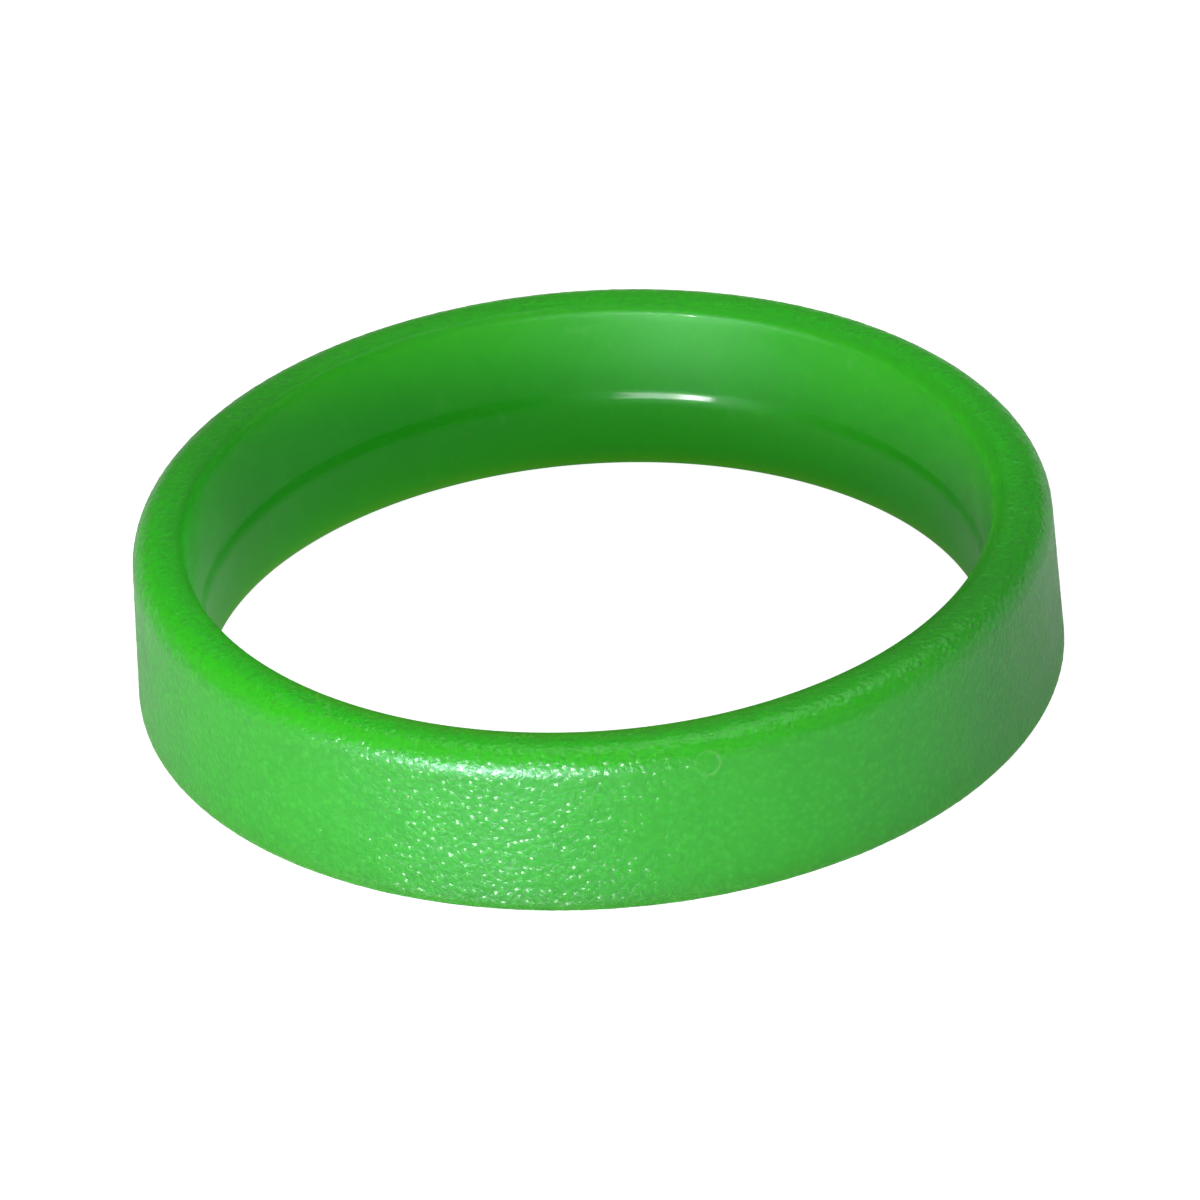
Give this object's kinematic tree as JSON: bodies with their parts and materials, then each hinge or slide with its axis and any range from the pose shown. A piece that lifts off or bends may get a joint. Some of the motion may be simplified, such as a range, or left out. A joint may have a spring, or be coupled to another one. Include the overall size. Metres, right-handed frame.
{
  "type": "leg band",
  "caption": "Closed ring of soft green plastic that slips over a hen's foot and sits round the leg as a coloured identification mark.",
  "frame": {"origin": "centre of the ring's base plane, on the bore's axis", "axes": "+Z along the bore, from the wider base towards the rim with the soft outer shoulder; X and Y are alike, because the ring is round"},
  "size_m": [0.019, 0.019, 0.0037],
  "materials": {
    "band_plastic": "soft green thermoplastic, fine moulded grain and satin outside, smoother and glossier in the bore"
  },
  "bodies": {
    "root": {"band": "band_plastic"}
  },
  "joints": []
}
